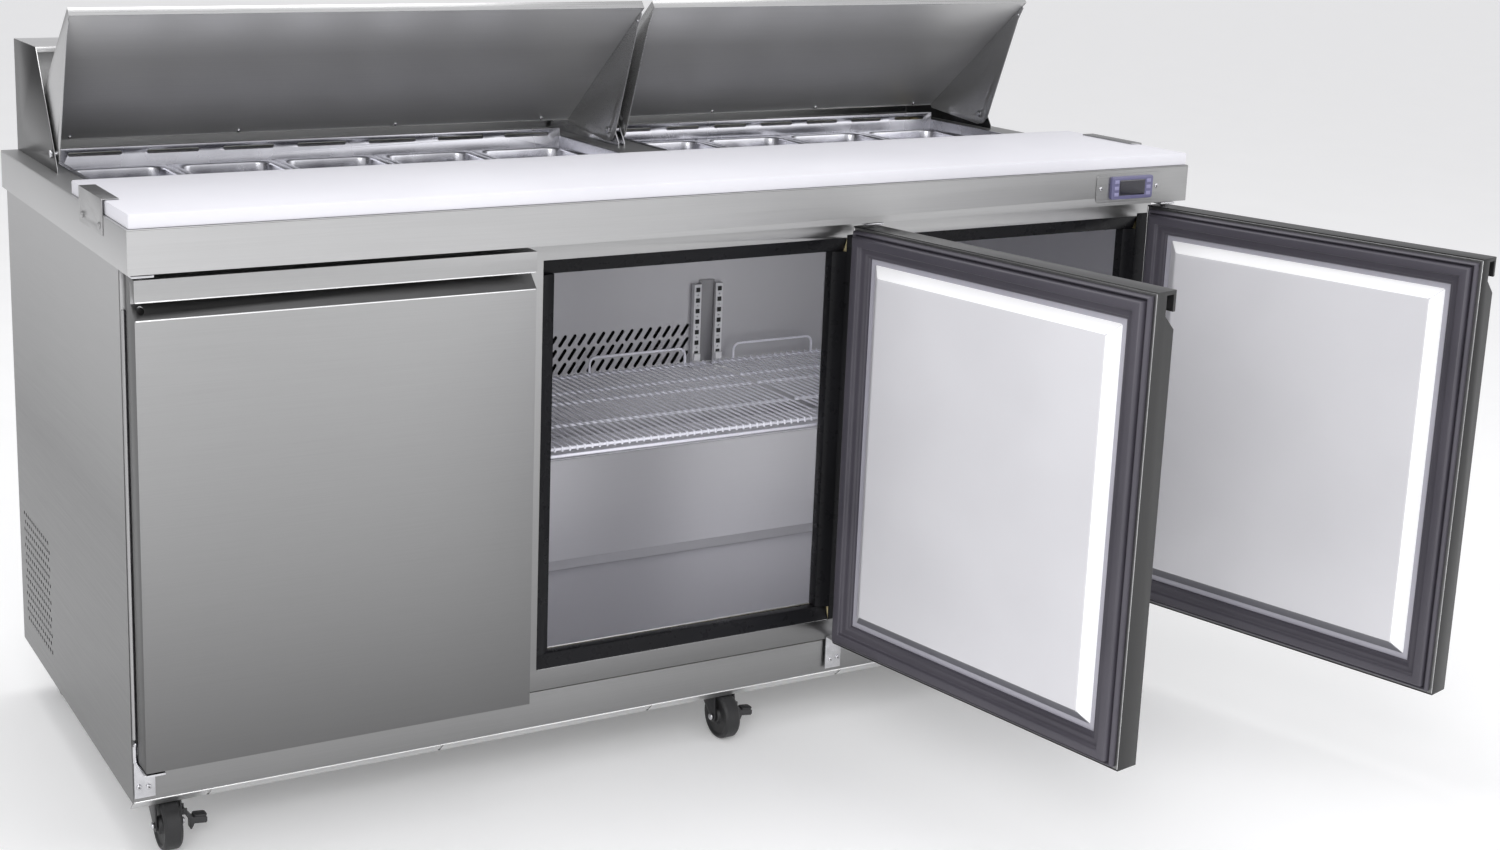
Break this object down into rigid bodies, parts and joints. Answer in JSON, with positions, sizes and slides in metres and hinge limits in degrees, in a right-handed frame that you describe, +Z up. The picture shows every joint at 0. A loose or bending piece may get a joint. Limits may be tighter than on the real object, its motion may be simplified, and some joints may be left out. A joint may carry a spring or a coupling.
{
  "type": "sandwich prep table",
  "caption": "Refrigerated sandwich prep table on casters: hinged doors, folding lids over rows of food pans, and a cutting board along its front.",
  "frame": {"origin": "on the floor, at the middle of the worktop's outline seen from above", "axes": "+X to the right of a person working at the table, along its length; +Y to its back; +Z up"},
  "size_m": [1.9306, 1.3177, 1.174],
  "materials": {
    "steel": "brushed",
    "galvanised": "satin",
    "bright_steel": "polished",
    "liner_sheet": "satin",
    "aluminium": "satin",
    "dark_sheet": "satin",
    "white_plastic": "matte",
    "black_plastic": "matte",
    "dark_plastic": "satin",
    "black_paint": "satin",
    "foam": "matte",
    "gasket": "matte",
    "rubber": "matte",
    "tread": "matte"
  },
  "bodies": {
    "cabinet": {"side_panels": "steel", "back_panel": "galvanised", "base_pan": "galvanised", "kick_panel": "steel", "front_frame": "steel", "breaker_strips": "black_plastic", "insulation": "foam", "inner_liner": "liner_sheet", "evaporator_cover": "liner_sheet", "pilasters": "bright_steel", "worktop": "steel", "hood": "steel", "lid_brackets": "steel", "lid_pivot_bolts": "bright_steel", "well_liners": "steel", "divider_bars": "steel", "board_brackets": "steel", "controller": "dark_plastic", "hinge_brackets": "bright_steel", "evaporator_coil": "aluminium", "compressor": "black_paint", "condenser": "aluminium", "caster_plates": "bright_steel"},
    "left_door": {"left_door_skin": "steel", "left_door_liner": "white_plastic", "left_door_gasket": "gasket"},
    "middle_door": {"middle_door_skin": "steel", "middle_door_liner": "white_plastic", "middle_door_gasket": "gasket"},
    "right_door": {"right_door_skin": "steel", "right_door_liner": "white_plastic", "right_door_gasket": "gasket"},
    "left_lid": {"left_lid_shell": "steel", "left_lid_liner": "dark_sheet"},
    "right_lid": {"right_lid_shell": "steel", "right_lid_liner": "dark_sheet"},
    "shelf_l": {"shelf_left": "bright_steel"},
    "shelf_m": {"shelf_middle": "bright_steel"},
    "shelf_r": {"shelf_right": "bright_steel"},
    "pan_set_left": {"pans_left": "steel"},
    "pan_set_right": {"pans_right": "steel"},
    "board": {"cutting_board": "white_plastic"},
    "keys": {"keypad": "rubber"},
    "cond_fan": {"condenser_fan": "black_plastic"},
    "evap_fan": {"evaporator_fan": "black_plastic"},
    "swivel_front_left": {"fork_front_left": "bright_steel"},
    "wheel_front_left": {"wheel_front_left": "tread"},
    "swivel_front_middle": {"fork_front_middle": "bright_steel"},
    "wheel_front_middle": {"wheel_front_middle": "tread"},
    "swivel_front_right": {"fork_front_right": "bright_steel"},
    "wheel_front_right": {"wheel_front_right": "tread"},
    "swivel_rear_left": {"fork_rear_left": "bright_steel"},
    "wheel_rear_left": {"wheel_rear_left": "tread"},
    "swivel_rear_middle": {"fork_rear_middle": "bright_steel"},
    "wheel_rear_middle": {"wheel_rear_middle": "tread"},
    "swivel_rear_right": {"fork_rear_right": "bright_steel"},
    "wheel_rear_right": {"wheel_rear_right": "tread"},
    "brake_left": {"brake_pedal_left": "black_plastic"},
    "brake_middle": {"brake_pedal_middle": "black_plastic"},
    "brake_right": {"brake_pedal_right": "black_plastic"}
  },
  "joints": [
    {"name": "left_door_hinge", "type": "hinge", "parent": "cabinet", "child": "left_door", "pos_m": [-0.877, -0.356, 0.5], "axis": [0, 0, 1], "range_deg": [-104, 0]},
    {"name": "middle_door_hinge", "type": "hinge", "parent": "cabinet", "child": "middle_door", "pos_m": [0.28, -0.356, 0.5], "axis": [0, 0, 1], "range_deg": [-99.6, 0]},
    {"name": "right_door_hinge", "type": "hinge", "parent": "cabinet", "child": "right_door", "pos_m": [0.877, -0.356, 0.5], "axis": [0, 0, 1], "range_deg": [-104, 0.4]},
    {"name": "left_lid_hinge", "type": "hinge", "parent": "cabinet", "child": "left_lid", "pos_m": [0, 0.138, 0.948], "axis": [1, 0, 0], "range_deg": [0, 62.9]},
    {"name": "right_lid_hinge", "type": "hinge", "parent": "cabinet", "child": "right_lid", "pos_m": [0, 0.138, 0.948], "axis": [1, 0, 0], "range_deg": [0, 62.9]},
    {"name": "shelf_left_lift", "type": "slide", "parent": "cabinet", "child": "shelf_l", "axis": [0, 0, 1], "range_m": [0, 0.06]},
    {"name": "shelf_middle_lift", "type": "slide", "parent": "cabinet", "child": "shelf_m", "axis": [0, 0, 1], "range_m": [0, 0.06]},
    {"name": "shelf_right_lift", "type": "slide", "parent": "cabinet", "child": "shelf_r", "axis": [0, 0, 1], "range_m": [0, 0.06]},
    {"name": "pans_left_lift", "type": "slide", "parent": "cabinet", "child": "pan_set_left", "axis": [0, 0, 1], "range_m": [0, 0.05]},
    {"name": "pans_right_lift", "type": "slide", "parent": "cabinet", "child": "pan_set_right", "axis": [0, 0, 1], "range_m": [0, 0.05]},
    {"name": "board_slide", "type": "slide", "parent": "cabinet", "child": "board", "axis": [0, -1, 0], "range_m": [0, 0.15]},
    {"name": "keypad_press", "type": "slide", "parent": "cabinet", "child": "keys", "axis": [0, 1, 0], "range_m": [0, 0.0006], "stiffness_N_per_m": 1500},
    {"name": "swivel_front_left_turn", "type": "hinge", "parent": "cabinet", "child": "swivel_front_left", "pos_m": [-0.836, -0.253, 0.08], "axis": [0, 0, 1], "continuous": true},
    {"name": "wheel_front_left_spin", "type": "hinge", "parent": "swivel_front_left", "child": "wheel_front_left", "pos_m": [-0.836, -0.279, 0.0375], "axis": [-1, 0, 0], "continuous": true},
    {"name": "brake_left_press", "type": "hinge", "parent": "swivel_front_left", "child": "brake_left", "pos_m": [-0.8115, -0.269, 0.05], "axis": [0, -1, 0], "range_deg": [-14, 0]},
    {"name": "swivel_front_middle_turn", "type": "hinge", "parent": "cabinet", "child": "swivel_front_middle", "pos_m": [0.089, -0.253, 0.08], "axis": [0, 0, 1], "continuous": true},
    {"name": "wheel_front_middle_spin", "type": "hinge", "parent": "swivel_front_middle", "child": "wheel_front_middle", "pos_m": [0.089, -0.279, 0.0375], "axis": [-1, 0, 0], "continuous": true},
    {"name": "brake_middle_press", "type": "hinge", "parent": "swivel_front_middle", "child": "brake_middle", "pos_m": [0.1135, -0.269, 0.05], "axis": [0, -1, 0], "range_deg": [-14, 0]},
    {"name": "swivel_front_right_turn", "type": "hinge", "parent": "cabinet", "child": "swivel_front_right", "pos_m": [0.835, -0.253, 0.08], "axis": [0, 0, 1], "continuous": true},
    {"name": "wheel_front_right_spin", "type": "hinge", "parent": "swivel_front_right", "child": "wheel_front_right", "pos_m": [0.835, -0.279, 0.0375], "axis": [-1, 0, 0], "continuous": true},
    {"name": "brake_right_press", "type": "hinge", "parent": "swivel_front_right", "child": "brake_right", "pos_m": [0.8595, -0.269, 0.05], "axis": [0, -1, 0], "range_deg": [-14, 0]},
    {"name": "swivel_rear_left_turn", "type": "hinge", "parent": "cabinet", "child": "swivel_rear_left", "pos_m": [-0.835, 0.3, 0.08], "axis": [0, 0, 1], "continuous": true},
    {"name": "wheel_rear_left_spin", "type": "hinge", "parent": "swivel_rear_left", "child": "wheel_rear_left", "pos_m": [-0.835, 0.326, 0.0375], "axis": [1, 0, 0], "continuous": true},
    {"name": "swivel_rear_middle_turn", "type": "hinge", "parent": "cabinet", "child": "swivel_rear_middle", "pos_m": [0.077, 0.3, 0.08], "axis": [0, 0, 1], "continuous": true},
    {"name": "wheel_rear_middle_spin", "type": "hinge", "parent": "swivel_rear_middle", "child": "wheel_rear_middle", "pos_m": [0.077, 0.326, 0.0375], "axis": [1, 0, 0], "continuous": true},
    {"name": "swivel_rear_right_turn", "type": "hinge", "parent": "cabinet", "child": "swivel_rear_right", "pos_m": [0.835, 0.3, 0.08], "axis": [0, 0, 1], "continuous": true},
    {"name": "wheel_rear_right_spin", "type": "hinge", "parent": "swivel_rear_right", "child": "wheel_rear_right", "pos_m": [0.835, 0.326, 0.0375], "axis": [1, 0, 0], "continuous": true},
    {"name": "condenser_fan_spin", "type": "hinge", "parent": "cabinet", "child": "cond_fan", "pos_m": [-0.79, 0.236, 0.215], "axis": [1, 0, 0], "continuous": true},
    {"name": "evaporator_fan_spin", "type": "hinge", "parent": "cabinet", "child": "evap_fan", "pos_m": [0.33, 0.216, 0.69], "axis": [0, 1, 0], "continuous": true}
  ]
}
